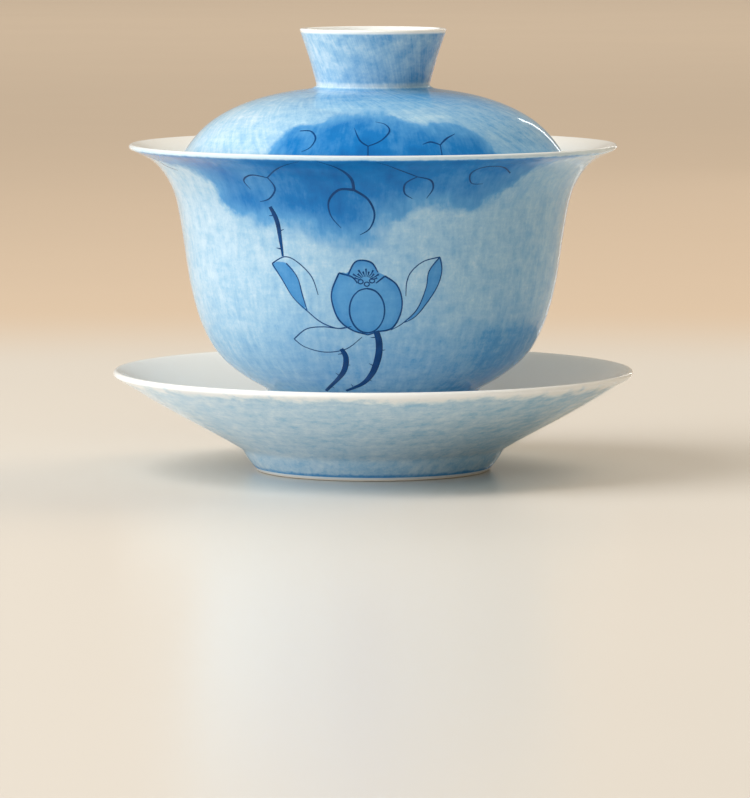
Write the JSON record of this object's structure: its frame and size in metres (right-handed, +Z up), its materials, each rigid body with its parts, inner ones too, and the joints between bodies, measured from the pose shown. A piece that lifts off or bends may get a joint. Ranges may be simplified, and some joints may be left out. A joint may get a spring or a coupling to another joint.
{
  "type": "gaiwan",
  "caption": "Lidded porcelain tea bowl with a flared lip and foot ring, standing in the well of its matching saucer; the lid lifts off by a hollow ring.",
  "frame": {"origin": "middle of the table surface under the saucer's foot ring", "axes": "+Z up along the axis of all three pieces; the front of the painting faces -Y; +X is to the right of someone facing the front"},
  "size_m": [0.11, 0.11, 0.0933],
  "materials": {
    "saucer_glaze": "white porcelain under a clear gloss glaze, pale sponged cobalt blue outside, plain white inside, bare foot ring",
    "bowl_glaze": "white porcelain under a clear gloss glaze, cobalt wash and brushed flowers outside, plain white inside, bare foot ring",
    "lid_glaze": "white porcelain under a clear gloss glaze, cobalt wash with brushed veins on the dome, white lip, plain white underside"
  },
  "bodies": {
    "saucer": {"saucer": "saucer_glaze"},
    "bowl": {"bowl": "bowl_glaze"},
    "lid": {"lid": "lid_glaze"}
  },
  "joints": [
    {"name": "bowl_lift", "type": "slide", "parent": "saucer", "child": "bowl", "axis": [0, 0, 1], "range_m": [0, 0.06]},
    {"name": "lid_lift", "type": "slide", "parent": "bowl", "child": "lid", "axis": [0, 0, 1], "range_m": [0, 0.05]}
  ]
}
